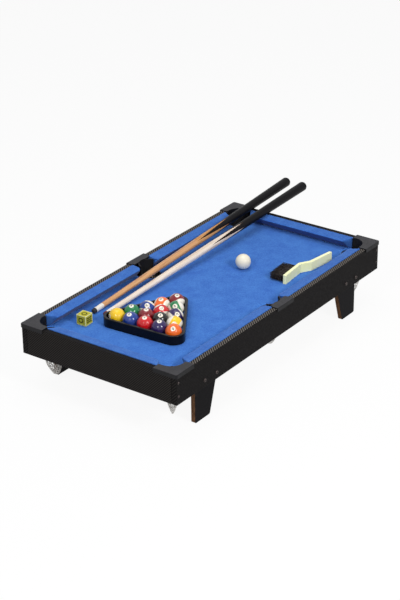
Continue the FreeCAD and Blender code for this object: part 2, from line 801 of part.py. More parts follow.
def cue(tag, tip_x, tip_y, butt_y, run, rest_height):
    """Lies with its tip on the cloth and its butt over the far end. x runs tip to butt."""
    lift = rest_height + cue_radius(run) - S["tip_rad"]
    rise = lift / run
    drift = (butt_y - tip_y) / S["cue_length"]
    yaw = atan_of(drift)
    lean = -atan_of(rise / root_of(1 + drift * drift))
    z = cloth_top + S["tip_rad"] + S["seat_gap"]
    total = S["cue_length"]
    ferrule = S["tip_long"] + S["ferrule_long"]
    joint = S["cue_joint"]
    r0 = S["tip_rad"]
    r1 = cue_radius(ferrule)
    r2 = cue_radius(joint)
    r3 = S["butt_rad"]
    long = S["tip_long"]
    pieces = [
        ("tip", [(0, 0), (0, r0 * 0.55), (long * 0.22, r0 * 0.93), (long, r0), (long, 0)]),
        ("ferrule", [(long, 0), (long, r0), (ferrule, r1), (ferrule, 0)]),
        ("shaft", [(ferrule, 0), (ferrule, r1), (joint, r2), (joint, 0)]),
        ("butt", [(joint, 0), (joint, r2), (total - 5, r3), (total - 1.5, r3 - 1.6),
                  (total, r3 - 5), (total, 0)]),
    ]
    for name, profile in pieces:
        body = new_body("%s_%s" % (tag, name))
        sk = new_sketch(body, "%s_%s_profile" % (tag, name))
        outline(sk, profile)
        turn_about(body, sk, "H_Axis", "%s_%s_turned" % (tag, name))
        place(body, tip_x, tip_y, z, yaw, lean)
        keep(body)


run_one = half_length - S["panel_thick"] - S["arm_inside"] - S["cue_one_x"]
over_cap = S["bed_depth"] + S["cap_thick"] + 2 * S["seat_gap"]
cue("cue_one", S["cue_one_x"], nose_line - S["cue_one_y"], nose_line - S["cue_one_butt"], run_one, over_cap)
run_two = half_length - inner - S["cue_two_x"]
over_cushion = S["bed_depth"] + S["cushion_rise"] + 2 * S["seat_gap"]
cue_two_line = nose_line - S["cue_two_y"]
cue("cue_two", S["cue_two_x"], cue_two_line, nose_line - S["cue_two_butt"], run_two, over_cushion)

# ---------------------------------------------------------------- rack and balls
row_step = pitch * (ROOT3 / 2)


def triangle_corner(out):
    """Corner radius, base line, height of the sharp corner and inset of the rounded one."""
    r = S["ball_rad"] + S["rack_play"] + out
    base = -4 * row_step / 3 - S["ball_rad"] - S["rack_loose"] - out
    half = (4 * row_step / 3 + r - base / 2) / (ROOT3 / 2)
    return r, base, half, r * ROOT3


def triangle(out):
    """Rounded triangle whose sides stand off the ball centres."""
    r, base, half, inset = triangle_corner(out)
    apex = 8 * row_step / 3 + 2 * r
    bx, by = base + r, half - inset
    lower = [(base, -by, bx, -by, r), (base + r * 1.5, inset / 2 - half)]
    nose = [(apex - r * 1.5, -inset / 2, apex - 2 * r, 0, r), (apex - r * 1.5, inset / 2)]
    upper = [(base + r * 1.5, half - inset / 2, bx, by, r), (base, by)]
    return lower + nose + upper


outer_rad, _, outer_half, outer_inset = triangle_corner(S["rack_thick"])
rack_y = cue_two_line - S["rack_beside"] - (outer_half - outer_inset + outer_rad)
rack_frame = frame_text(S["rack_x"] - S["set_middle"], rack_y, cloth_top + S["seat_gap"], S["rack_turn"])


def triangle_rack():
    body = new_body("triangle_rack")
    sk = new_sketch(body, "rack_outside")
    outline(sk, triangle(S["rack_thick"]))
    pad(body, sk, S["rack_high"], "rack_block")
    sk = new_sketch(body, "rack_inside")
    outline(sk, triangle(size(0)))
    f = pocket(body, sk, "rack_opening")

    def rim(a, b, e):
        return same(a.z, b.z)
    fillet(body, f, 0.9, rim, "rack_rims")
    body.setExpression("Placement", rack_frame)
    keep(body)


triangle_rack()


def ball(label, frame, x, y):
    s = doc.addObject("Part::Sphere", label)
    s.setExpression("Radius", S["ball_rad"].text)
    spot = (size(x).text, size(y).text, S["ball_rad"].text)
    local = "create(<<vector>>; %s; %s; %s)" % spot
    level = "create(<<placement>>; %s; create(<<rotation>>; 0; 0; 0))" % local
    s.setExpression("Placement", "%s * %s" % (frame, level))
    keep(s, label)


number = 1
for i in range(5):
    for j in range(5 - i):
        x = row_step * (i - 4 / 3)
        y = pitch * ((4 - i) / 2 - j)
        ball("ball_%02d" % number, rack_frame, x, y)
        number += 1
cue_frame = frame_text(S["cue_ball_x"] - S["set_middle"], S["cue_ball_y"], cloth_top + S["seat_gap"])
ball("cue_ball", cue_frame, 0, 0)


# ---------------------------------------------------------------- chalk
def block(label, half, high, lift, rounding, inset=None):
    """Square block centred on its own z axis. With inset it is a cap open underneath."""
    body = new_body(label)
    sk = new_sketch(body, label + "_plan", "XY_Plane", lift)
    outline(sk, [(-half, -half), (half, -half), (half, half), (-half, half)])
    f = pad(body, sk, high, label + "_cube")
    f = fillet(body, f, rounding, upright, label + "_corners")
    if inset is not None:
        doc.recompute()
        q = half - inset
        sk = new_sketch(body, label + "_hollow", "XY_Plane", lift)
        outline(sk, [(-q, -q), (q, -q), (q, q), (-q, q)])
        pocket(body, sk, label + "_inside", high - inset, up=True)
    return body


chalk_z = cloth_top + S["seat_gap"]
wrap = block("chalk_wrap", S["chalk_wide"] / 2, S["chalk_high"] - 1, 1, 1.0, S["wrap_thick"])
place(wrap, S["chalk_x"], nose_line - S["chalk_y"], chalk_z, 2)
keep(wrap)
core_half = S["chalk_wide"] / 2 - S["wrap_thick"]
core = block("chalk_core", core_half, S["chalk_high"] - S["wrap_thick"], 0, 0.3)
place(core, S["chalk_x"], nose_line - S["chalk_y"], chalk_z, 2)
keep(core)


# ---------------------------------------------------------------- brush
def brush_handle():
    """Bent strip standing on its edge: straight head, side step, leaning grip."""
    body = new_body("brush_handle")
    a = S["brush_head"]
    b = a + S["brush_bend"]
    c = b + S["brush_grip"]
    step = S["brush_step"]
    end = step + S["brush_lean"]
    t = S["brush_thick"] / 2
    upper = [(0, t), (a + 2, t), (b + 2, t - step), (c, t - end)]
    lower = [(c, -t - end), (b - 2, -t - step), (a - 2, -t), (0, -t)]
    sk = new_sketch(body, "brush_plan")
    outline(sk, lower[::-1] + upper[::-1])
    f = pad(body, sk, S["brush_wide"], "brush_strip")
    bends = (a.value, b.value)

    def bend(p, q, e):
        return upright(p, q, e) and any(abs(p.x - x) < 3 for x in bends)
    f = fillet(body, f, 9, bend, "brush_bends")

    def tip(p, q, e):
        return upright(p, q, e) and (same(p.x, 0) or same(p.x, c.value))
    doc.recompute()
    f = fillet(body, f, 1.5, tip, "brush_ends")
    place(body, S["brush_x"], S["brush_y"] - nose_line, cloth_top + S["seat_gap"], S["brush_turn"])
    keep(body)


brush_handle()
bristles = new_body("brush_bristles")
sk = new_sketch(bristles, "bristle_plan", "XY_Plane", (S["brush_wide"] - S["bristle_wide"]) / 2)
b0 = S["bristle_inset"]
b1 = S["brush_head"] - S["bristle_inset"] - 2
y0 = S["brush_thick"] / 2
y1 = y0 + S["bristle_long"]
outline(sk, [(b0, y0), (b1, y0), (b1 + 1, y1), (b0 - 1, y1)])
pad(bristles, sk, S["bristle_wide"], "bristle_block")
place(bristles, S["brush_x"], S["brush_y"] - nose_line, cloth_top + S["seat_gap"], S["brush_turn"])
keep(bristles)

# ---------------------------------------------------------------- checks and export
doc.recompute()
bad = []
for obj in doc.Objects:
    if "Invalid" in obj.State or "Error" in obj.State:
        bad.append("%s %s" % (obj.Name, obj.State))
for obj in NODES:
    shape = obj.Shape
    if shape.isNull() or not shape.isValid() or shape.Volume <= 0:
        bad.append("%s shape" % obj.Label)
if bad:
    raise RuntimeError("not built: " + "; ".join(bad))
for obj in NODES:
    obj.Shape.exportStep("parts/%s.step" % obj.Label)
    box = obj.Shape.BoundBox
    spread = (box.XMin, box.XMax, box.YMin, box.YMax, box.ZMin, box.ZMax)
    line = "%-26s %2d solid(s) %10.1f mm3  x %7.1f %7.1f  y %7.1f %7.1f  z %6.1f %6.1f"
    print(line % ((obj.Label, len(obj.Shape.Solids), obj.Shape.Volume) + spread))
print(len(NODES), "nodes")
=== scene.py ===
import math
import random

import bmesh
import bpy
from mathutils import Matrix, Vector
from mathutils.geometry import delaunay_2d_cdt


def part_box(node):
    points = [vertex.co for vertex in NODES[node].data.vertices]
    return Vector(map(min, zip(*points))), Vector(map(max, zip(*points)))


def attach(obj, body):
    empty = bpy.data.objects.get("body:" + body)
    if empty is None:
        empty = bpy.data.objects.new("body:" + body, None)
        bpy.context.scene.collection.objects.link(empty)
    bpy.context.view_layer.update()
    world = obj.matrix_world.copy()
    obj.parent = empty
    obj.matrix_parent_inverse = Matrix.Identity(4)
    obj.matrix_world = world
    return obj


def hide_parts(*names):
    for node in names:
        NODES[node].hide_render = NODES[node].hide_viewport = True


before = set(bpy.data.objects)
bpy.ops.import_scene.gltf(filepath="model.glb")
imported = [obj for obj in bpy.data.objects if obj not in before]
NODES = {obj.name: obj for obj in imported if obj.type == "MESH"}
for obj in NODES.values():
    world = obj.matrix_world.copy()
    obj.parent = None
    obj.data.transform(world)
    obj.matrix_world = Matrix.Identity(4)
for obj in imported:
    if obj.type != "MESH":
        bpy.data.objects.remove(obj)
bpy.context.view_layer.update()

# Looks of a tabletop pool table with its playing set. Metres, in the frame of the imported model.
# The cloth, cushions, nets, balls and bristles are finer pieces that replace their CAD nodes.
# The other nodes keep their CAD shape and are only dressed.

MM = 0.001
NET_WALL = 1.2 * MM
TURN = 2 * math.pi
UP = Vector((0, 0, 1))


def middle(node):
    low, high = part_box(node)
    return (Vector(low) + Vector(high)) / 2


TABLE_LOW, TABLE_HIGH = (Vector(corner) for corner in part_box("side_panel_near"))
FAR_HIGH = Vector(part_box("side_panel_far")[1])
CENTRE = Vector(((TABLE_LOW.x + TABLE_HIGH.x) / 2, (TABLE_LOW.y + FAR_HIGH.y) / 2, TABLE_HIGH.z))
CORNERS = ("near_left", "near_right", "far_right", "far_left")


# ---------------------------------------------------------------- node materials
STRIPE_EDGE = (0.52, 0.54)  # half width of a ball's stripe, in radii
SPOT_EDGE = (0.95, 0.956)  # where the white round under a number starts, in radii
BUTT_START = 345 * MM  # from the tip, where the points of the black lacquer begin
POINT_LENGTH = 112 * MM
POINT_COUNT = 4
POINT_TURN = 0.6  # of one point, round the cue


class Surface:
    """One procedural material: short calls for the few node kinds that it uses."""

    def __init__(self, name):
        self.material = bpy.data.materials.new(name)
        self.material.use_nodes = True
        self.tree = self.material.node_tree
        self.tree.nodes.clear()
        self.shader = self.tree.nodes.new("ShaderNodeBsdfPrincipled")
        output = self.tree.nodes.new("ShaderNodeOutputMaterial")
        self.tree.links.new(self.shader.outputs["BSDF"], output.inputs["Surface"])
        self.place = self.tree.nodes.new("ShaderNodeTexCoord")

    def feed(self, socket, value):
        if isinstance(value, bpy.types.NodeSocket):
            self.tree.links.new(value, socket)
        elif isinstance(value, (tuple, list)) and len(value) == 3 and socket.type == "RGBA":
            socket.default_value = (*value, 1)
        else:
            socket.default_value = value

    def set(self, **values):
        for name, value in values.items():
            self.feed(self.shader.inputs[name.replace("_", " ")], value)

    def where(self):
        return self.place.outputs["Object"]

    def facing(self):
        return self.place.outputs["Normal"]

    def mapped(self, scale, location=(0, 0, 0), rotation=(0, 0, 0), vector=None, kind="POINT"):
        node = self.tree.nodes.new("ShaderNodeMapping")
        node.vector_type = kind
        self.feed(node.inputs["Vector"], vector or self.where())
        node.inputs["Location"].default_value = location
        node.inputs["Rotation"].default_value = rotation
        node.inputs["Scale"].default_value = scale
        return node.outputs["Vector"]

    def noise(self, scale, detail=3, rough=0.55, vector=None, twist=0):
        node = self.tree.nodes.new("ShaderNodeTexNoise")
        self.feed(node.inputs["Vector"], vector or self.where())
        node.inputs["Scale"].default_value = scale
        node.inputs["Detail"].default_value = detail
        node.inputs["Roughness"].default_value = rough
        node.inputs["Distortion"].default_value = twist
        return node.outputs["Fac"]

    def cells(self, scale):
        node = self.tree.nodes.new("ShaderNodeTexVoronoi")
        self.feed(node.inputs["Vector"], self.where())
        node.inputs["Scale"].default_value = scale
        return node.outputs["Distance"]

    def axes(self, vector=None):
        node = self.tree.nodes.new("ShaderNodeSeparateXYZ")
        self.feed(node.inputs[0], vector or self.where())
        return node.outputs["X"], node.outputs["Y"], node.outputs["Z"]

    def sum(self, op, a, b=None, c=None):
        node = self.tree.nodes.new("ShaderNodeMath")
        node.operation = op
        for socket, value in zip(node.inputs, (a, b, c)):
            if value is not None:
                self.feed(socket, value)
        return node.outputs[0]

    def step(self, value, low, high, start=0.0, end=1.0):
        """Smooth change from start to end as value goes from low to high."""
        node = self.tree.nodes.new("ShaderNodeMapRange")
        node.interpolation_type = "SMOOTHSTEP"
        self.feed(node.inputs["Value"], value)
        node.inputs["From Min"].default_value = low
        node.inputs["From Max"].default_value = high
        node.inputs["To Min"].default_value = start
        node.inputs["To Max"].default_value = end
        return node.outputs["Result"]

    def ramp(self, value, *stops):
        node = self.tree.nodes.new("ShaderNodeValToRGB")
        self.feed(node.inputs["Fac"], value)
        points = node.color_ramp.elements
        while len(points) < len(stops):
            points.new(0.5)
        for point, (place, colour) in zip(points, stops):
            point.position = place
            point.color = (*colour, 1)
        return node.outputs["Color"]

    def mix(self, part, a, b, blend="MIX"):
        node = self.tree.nodes.new("ShaderNodeMix")
        node.data_type = "RGBA"
        node.blend_type = blend
        self.feed(node.inputs["Factor"], part)
        self.feed(node.inputs[6], a)
        self.feed(node.inputs[7], b)
        return node.outputs[2]

    def bump(self, height, depth, strength=1.0, below=None):
        node = self.tree.nodes.new("ShaderNodeBump")
        node.inputs["Distance"].default_value = depth
        node.inputs["Strength"].default_value = strength
        self.feed(node.inputs["Height"], height)
        if below is not None:
            self.feed(node.inputs["Normal"], below)
        return node.outputs["Normal"]


def tint(red, green, blue):
    """Linear colour of a display colour given in 0 to 255."""
    def linear(c):
        return ((c / 255 + 0.055) / 1.055) ** 2.4 if c > 10 else c / 255 / 12.92
    return tuple(linear(c) for c in (red, green, blue))


def felt(name, deep, pale, underside_shade=1.0):
    """Brushed cloth: cloudy nap, flecks and single fibres, and painted shade that darkens what faces down.
    """
    s = Surface(name)
    cloud = s.noise(38, 3, 0.6)
    fleck = s.noise(310, 4, 0.7)
    fibre = s.noise(1900, 3, 0.75, twist=0.6)
    tone = s.sum("MULTIPLY_ADD", cloud, 0.4, s.sum("MULTIPLY", fleck, 0.6))
    base = s.ramp(tone, (0.32, deep), (0.68, pale))
    base = s.mix(0.45, base, s.ramp(fibre, (0.3, (0.3, 0.3, 0.3)), (0.7, (0.72, 0.72, 0.72))), "OVERLAY")
    # painted shade: faces that point down are darkened fully and upright faces in part, by multiplying the
    # cloth colour
    if underside_shade < 1:
        underside_shade_mask = s.step(s.axes(s.facing())[2], -0.5, 0.45, underside_shade, 1)
        shade = s.ramp(underside_shade_mask, (0, (0, 0, 0)), (1, (1, 1, 1)))
        base = s.mix(1, base, shade, "MULTIPLY")
    nap = s.bump(fleck, 0.3 * MM, 0.35)
    s.set(Base_Color=base, Roughness=0.94, Specular_IOR_Level=0.1, Sheen_Weight=0.12, Sheen_Roughness=0.45,
          Normal=s.bump(fibre, 0.22 * MM, 0.7, nap))
    return s.material


def woven_wrap(name, tow, painted_shine):
    """Black film with a carbon twill, and a painted highlight that makes its raised threads paler. The
    last argument gives how strong the painted highlight is on end, side and top faces.
    """
    s = Surface(name)
    x, y, z = s.axes()
    sides = [s.sum("GREATER_THAN", s.sum("ABSOLUTE", part), 0.7) for part in s.axes(s.facing())]
    on_end, on_side, on_top = sides

    def by_face(end, side, top):
        parts = [s.sum("MULTIPLY", a, b) for a, b in ((end, on_end), (side, on_side), (top, on_top))]
        return s.sum("ADD", s.sum("ADD", parts[0], parts[1]), parts[2])
    across = by_face(s.sum("ADD", y, z), s.sum("SUBTRACT", x, z), s.sum("SUBTRACT", x, y))
    along = by_face(y, x, x)
    up = by_face(z, z, y)
    rib = s.sum("SINE", s.sum("MULTIPLY", across, TURN / (4 * tow)))
    over = s.step(rib, -0.35, 0.35)
    warp = s.sum("ABSOLUTE", s.sum("SINE", s.sum("MULTIPLY", along, math.pi / tow)))
    weft = s.sum("ABSOLUTE", s.sum("SINE", s.sum("MULTIPLY", up, math.pi / tow)))
    threads = s.sum("ADD", s.sum("MULTIPLY", over, weft),
                    s.sum("MULTIPLY", s.sum("SUBTRACT", 1, over), warp))
    # painted highlight: raised threads painted paler, by the share given for each face direction
    painted_highlight = s.sum("MULTIPLY", s.sum("MULTIPLY", over, by_face(*painted_shine)),
                 s.sum("MULTIPLY_ADD", threads, 0.45, 0.55))
    dust = s.noise(260, 3)
    base = s.mix(painted_highlight, tint(11, 10, 12), tint(118, 112, 106))
    base = s.mix(s.step(dust, 0.6, 0.85, 0, 0.08), base, tint(70, 68, 66))
    s.set(Base_Color=base, Roughness=s.step(dust, 0.3, 0.7, 0.5, 0.64), Specular_IOR_Level=0.04,
          Normal=s.bump(threads, 0.09 * MM, 0.45))
    return s.material


def wood_board(name, deep, pale):
    """Raw fibreboard: pressed fibres and pale flecks."""
    s = Surface(name)
    fibre = s.noise(160, 5, 0.75, vector=s.mapped((1, 1, 2.2)), twist=0.4)
    speck = s.noise(1500, 2, 0.6)
    base = s.ramp(fibre, (0.3, deep), (0.7, pale))
    base = s.mix(s.step(speck, 0.58, 0.72, 0, 0.4), base, deep)
    s.set(Base_Color=base, Roughness=0.82, Specular_IOR_Level=0.2, Normal=s.bump(speck, 0.12 * MM, 0.5))
    return s.material


def leg_finish(name):
    """Wrapped faces front and back, bare board round the cut edge."""
    s = Surface(name)
    side = s.axes(s.facing())[1]
    wrapped = s.step(s.sum("ABSOLUTE", side), 0.55, 0.75)
    fibre = s.noise(210, 5, 0.7, vector=s.mapped((1, 3, 0.6)))
    bare = s.ramp(fibre, (0.3, tint(66, 46, 35)), (0.72, tint(126, 92, 66)))
    grain = s.noise(700, 3, 0.6)
    film = s.ramp(grain, (0.35, tint(9, 8, 10)), (0.7, tint(20, 19, 22)))
    s.set(Base_Color=s.mix(wrapped, bare, film), Roughness=s.step(wrapped, 0, 1, 0.8, 0.5),
          Specular_IOR_Level=0.04, Normal=s.bump(grain, 0.1 * MM, 0.35))
    return s.material


def pebbled(name, deep, pale, rough=0.5, grain=1500, depth=0.08, painted_top_light=None):
    """Moulded plastic with a fine pebble and faint flow marks, and, where a top colour is given, painted
    light that makes the upward faces paler.
    """
    s = Surface(name)
    cells = s.cells(grain)
    flow = s.noise(45, 3, 0.6, twist=0.8)
    scuff = s.noise(900, 4, 0.7, vector=s.mapped((0.15, 1, 1)))
    base = s.ramp(flow, (0.3, deep), (0.72, pale))
    base = s.mix(s.step(scuff, 0.64, 0.8, 0, 0.3), base, pale)
    # painted light: faces that point up take the paler top colour
    if painted_top_light is not None:
        base = s.mix(s.step(s.axes(s.facing())[2], 0.5, 0.95), base, s.mix(flow, pale, painted_top_light))
    s.set(Base_Color=base, Roughness=s.step(scuff, 0.3, 0.7, rough - 0.06, rough + 0.08),
          Specular_IOR_Level=0.16, Normal=s.bump(cells, depth * MM, 0.5))
    return s.material


def nylon(name):
    s = Surface(name)
    lay = s.noise(1300, 2, 0.5, vector=s.mapped((1, 1, 0.35)))
    base = s.ramp(lay, (0.3, tint(178, 176, 172)), (0.65, tint(222, 220, 217)))
    s.set(Base_Color=base, Roughness=0.5, Normal=s.bump(lay, 0.15 * MM, 0.7))
    return s.material


def blackened(name):
    s = Surface(name)
    wear = s.noise(900, 4, 0.65)
    base = s.ramp(wear, (0.42, tint(24, 22, 24)), (0.75, tint(110, 96, 92)))
    s.set(Base_Color=base, Metallic=0.75, Roughness=s.step(wear, 0.3, 0.7, 0.32, 0.5),
          Normal=s.bump(wear, 0.05 * MM, 0.4))
    return s.material


def ball_finish(name, colour, striped, radius):
    """Cast resin: a colour or a band of it, and a white ring where the number stands."""
    s = Surface(name)
    _, y, z = s.axes()
    swirl = s.noise(110, 3, 0.6, twist=1.2)
    ivory = s.ramp(swirl, (0.3, tint(232, 224, 206)), (0.7, tint(246, 241, 228)))
    base = s.mix(s.step(swirl, 0.35, 0.75, 0, 0.03), colour, tint(255, 255, 255))
    if striped:
        band = s.step(s.sum("ABSOLUTE", y), STRIPE_EDGE[0] * radius, STRIPE_EDGE[1] * radius, 1, 0)
        base = s.mix(band, ivory, base)
    spot = s.step(s.sum("ABSOLUTE", z), SPOT_EDGE[0] * radius, SPOT_EDGE[1] * radius)
    base = s.mix(spot, base, ivory)
    haze = s.noise(420, 3, 0.7)
    s.set(Base_Color=base, Roughness=s.step(haze, 0.35, 0.75, 0.04, 0.1), Specular_IOR_Level=0.45,
          Normal=s.bump(haze, 0.012 * MM, 0.15))
    return s.material


def ink(name):
    s = Surface(name)
    print_grain = s.noise(2200, 3, 0.6)
    s.set(Base_Color=s.ramp(print_grain, (0.35, tint(14, 14, 16)), (0.8, tint(44, 43, 46))),
          Roughness=0.25, Coat_Weight=0.5)
    return s.material


class CueFrame:
    """Straight line of a cue, from the middle of its tip to the middle of its butt."""

    def __init__(self, tag):
        start, end = middle(tag + "_tip"), middle(tag + "_butt")
        self.axis = (end - start).normalized()
        low = Vector(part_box(tag + "_tip")[0])
        self.origin = start - self.axis * ((start.x - low.x) / self.axis.x)
        self.turn = self.axis.to_track_quat("X", "Z")

    def local(self, s):
        """Cue coordinates in metres: x runs along the cue from the tip."""
        return s.mapped((1, 1, 1), self.origin, self.turn.to_euler("XYZ"), kind="TEXTURE")


def turned_wood(s, vector, deep, pale, streak):
    """Long straight grain with pores, in cue coordinates."""
    bands = s.noise(1, 4, 0.6, vector=s.mapped((9, 190, 190), vector=vector), twist=0.5)
    pores = s.noise(1, 3, 0.7, vector=s.mapped((60, 1500, 1500), vector=vector))
    base = s.ramp(bands, (0.28, deep), (0.52, pale), (0.74, streak))
    return s.mix(s.step(pores, 0.58, 0.75, 0, 0.35), base, deep), pores


def shaft_finish(name, line, deep, pale, streak):
    s = Surface(name)
    base, pores = turned_wood(s, line.local(s), deep, pale, streak)
    s.set(Base_Color=base, Roughness=s.step(pores, 0.3, 0.7, 0.28, 0.42), Coat_Weight=0.25,
          Coat_Roughness=0.2, Normal=s.bump(pores, 0.05 * MM, 0.4))
    return s.material


def butt_finish(name, line, deep, pale, streak):
    """Black lacquer that starts in points cut into the shaft's wood."""
    s = Surface(name)
    place = line.local(s)
    wood, pores = turned_wood(s, place, deep, pale, streak)
    x, y, z = s.axes(place)
    angle = s.sum("DIVIDE", s.sum("ARCTAN2", y, z), TURN)
    wave = s.sum("PINGPONG", s.sum("MULTIPLY_ADD", angle, POINT_COUNT, POINT_TURN), 0.5)
    run = s.sum("DIVIDE", s.sum("SUBTRACT", x, BUTT_START), POINT_LENGTH)
    edge = s.sum("SUBTRACT", s.sum("MULTIPLY", wave, 2), run)
    bare = s.step(edge, -0.02, 0.02)
    veneer = s.step(s.sum("ABSOLUTE", s.sum("ADD", edge, 0.045)), 0.03, 0.045, 1, 0)
    wrinkle = s.noise(1, 4, 0.65, vector=s.mapped((700, 900, 900), vector=place))
    black = s.ramp(wrinkle, (0.35, tint(8, 8, 10)), (0.75, tint(26, 25, 28)))
    base = s.mix(bare, s.mix(veneer, black, tint(96, 62, 38)), wood)
    s.set(Base_Color=base, Roughness=s.step(wrinkle, 0.3, 0.7, 0.3, 0.48), Specular_IOR_Level=0.08,
          Normal=s.bump(s.mix(bare, wrinkle, pores), 0.12 * MM, 0.5))
    return s.material


def leather_tip(name, deep, pale):
    s = Surface(name)
    layer = s.noise(1400, 4, 0.7)
    s.set(Base_Color=s.ramp(layer, (0.3, deep), (0.72, pale)), Roughness=0.9,
          Normal=s.bump(layer, 0.15 * MM, 0.7))
    return s.material


def ferrule_finish(name):
    s = Surface(name)
    haze = s.noise(500, 3, 0.6, vector=s.mapped((0.2, 1, 1)))
    s.set(Base_Color=s.ramp(haze, (0.3, tint(214, 208, 198)), (0.7, tint(240, 236, 228))),
          Roughness=s.step(haze, 0.3, 0.7, 0.2, 0.34), Normal=s.bump(haze, 0.03 * MM, 0.3))
    return s.material


def chalk_label(name, node):
    """Printed paper: pale worn edges, a dark panel on each side, a ring on the top."""
    s = Surface(name)
    low, high = (Vector(corner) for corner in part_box(node))
    centre = (low + high) / 2
    half = (high - low) / 2 - Vector((0.4, 0.4, 0)) * MM
    place = s.mapped([1 / h for h in half], [-c / h for c, h in zip(centre, half)])
    x, y, z = s.axes(place)
    ax, ay, az = (s.sum("ABSOLUTE", part) for part in (x, y, z))
    on_x, on_y, on_z = (s.sum("GREATER_THAN", s.sum("ABSOLUTE", part), 0.7) for part in s.axes(s.facing()))
    across = s.sum("ADD", s.sum("MULTIPLY", ay, on_x), s.sum("MULTIPLY", ax, s.sum("SUBTRACT", 1, on_x)))
    up = s.sum("ADD", s.sum("MULTIPLY", ay, on_z), s.sum("MULTIPLY", az, s.sum("SUBTRACT", 1, on_z)))
    reach = s.sum("MAXIMUM", across, up)
    fray = s.noise(700, 4, 0.7)
    edge = s.step(s.sum("MULTIPLY_ADD", fray, 0.16, reach), 0.9, 0.99)
    panel = s.step(reach, 0.64, 0.7, 1, 0)
    bars = s.step(s.sum("ABSOLUTE", s.sum("SINE", s.sum("MULTIPLY", up, 7.5))), 0.7, 0.8, 1, 0.15)
    side_mark = s.sum("MULTIPLY", s.sum("MULTIPLY", panel, on_y), bars)
    round_reach = s.sum("POWER", s.sum("ADD", s.sum("POWER", across, 2), s.sum("POWER", up, 2)), 0.5)
    ring = s.step(s.sum("ABSOLUTE", s.sum("SUBTRACT", round_reach, 0.42)), 0.09, 0.14, 1, 0)
    top_mark = s.sum("MULTIPLY", ring, s.sum("SUBTRACT", 1, on_y))
    mark = s.sum("MAXIMUM", side_mark, top_mark)
    paper = s.ramp(s.noise(160, 4, 0.7), (0.3, tint(150, 142, 26)), (0.7, tint(204, 198, 66)))
    base = s.mix(s.sum("MULTIPLY", mark, 0.88), paper, tint(30, 32, 12))
    base = s.mix(s.sum("MULTIPLY", edge, 0.8), base, tint(232, 230, 168))
    s.set(Base_Color=base, Roughness=0.8, Specular_IOR_Level=0.2, Normal=s.bump(fray, 0.08 * MM, 0.4))
    return s.material


def powder(name, deep, pale):
    s = Surface(name)
    grain = s.noise(1300, 4, 0.7)
    s.set(Base_Color=s.ramp(grain, (0.3, deep), (0.7, pale)), Roughness=0.95,
          Normal=s.bump(grain, 0.2 * MM, 0.6))
    return s.material


def hair(name):
    s = Surface(name)
    mixed = s.noise(350, 3, 0.7)
    fibre = s.ramp(mixed, (0.35, tint(16, 13, 12)), (0.62, tint(44, 34, 30)), (0.8, tint(78, 60, 48)))
    s.set(Base_Color=fibre, Roughness=0.45, Specular_IOR_Level=0.4,
          Normal=s.bump(s.noise(3000, 2), 0.03 * MM, 0.4))
    return s.material


# ---------------------------------------------------------------- mesh helpers
def show(mesh, name, *materials):
    """Smooth-shaded object of the mesh, in the scene."""
    for material in materials:
        mesh.materials.append(material)
    for face in mesh.polygons:
        face.use_smooth = True
    piece = bpy.data.objects.new(name, mesh)
    bpy.context.scene.collection.objects.link(piece)
    return piece


def ring_surface(bm, rings, capped=True):
    """Faces between rings of the same number of points, with fans over the two ends if capped."""
    rows = [[bm.verts.new(point) for point in ring] for ring in rings]
    count = len(rows[0])
    for a, b in zip(rows, rows[1:]):
        for i in range(count):
            j = (i + 1) % count
            bm.faces.new((a[i], a[j], b[j], b[i]))
    if not capped:
        return
    for row, flip in ((rows[0], True), (rows[-1], False)):
        hub = bm.verts.new(sum((v.co for v in row), Vector()) / count)
        for i in range(count):
            a, b = row[i], row[(i + 1) % count]
            bm.faces.new((b, a, hub) if flip else (a, b, hub))


def tube(bm, points, radius, sides=6, taper=1.0):
    """Round bar through the points."""
    rings = []
    last = len(points) - 1
    for k, point in enumerate(points):
        ahead = points[min(k + 1, last)] - points[max(k - 1, 0)]
        turn = ahead.to_track_quat("Z", "X")
        r = radius * (1 + (taper - 1) * k / last)
        spots = [(math.cos(TURN * i / sides), math.sin(TURN * i / sides)) for i in range(sides)]
        rings.append([point + turn @ Vector((r * c, r * s, 0)) for c, s in spots])
    ring_surface(bm, rings)


def finished(bm, name):
    bmesh.ops.recalc_face_normals(bm, faces=bm.faces)
    mesh = bpy.data.meshes.new(name)
    bm.to_mesh(mesh)
    bm.free()
    return mesh


def cut_corners(points, rounds=2, share=0.25):
    """Closed outline with its corners rounded off, always inside the first one."""
    for _ in range(rounds):
        fresh = []
        for a, b in zip(points, points[1:] + points[:1]):
            fresh += [a + (b - a) * share, b + (a - b) * share]
        points = fresh
    return points


def ripple(place, size, height, seed=0.0):
    """Small smooth unevenness at a place."""
    x, y, z = (part / size for part in place)
    waves = math.sin(x + 1.7 * y + seed) + math.sin(1.3 * x - y + 2.1 * z + 2 * seed)
    return height * (waves + math.sin(2.3 * x + 0.7 * y + 3 * seed)) / 3


# ---------------------------------------------------------------- bed cloth
CLOTH_THICK = 0.75 * MM
CLOTH_DROP = 0.12 * MM  # from the top of the modelled cloth, so that its waves stay inside
CLOTH_PITCH = 8 * MM
CLOTH_EDGE_ROOM = 3 * MM
CLOTH_WAVE = 60 * MM
CLOTH_WAVE_HEIGHT = 0.03 * MM
NOTCH_STEPS = 24
HOLE_STEPS = 48
SAME_POINT = 1e-7


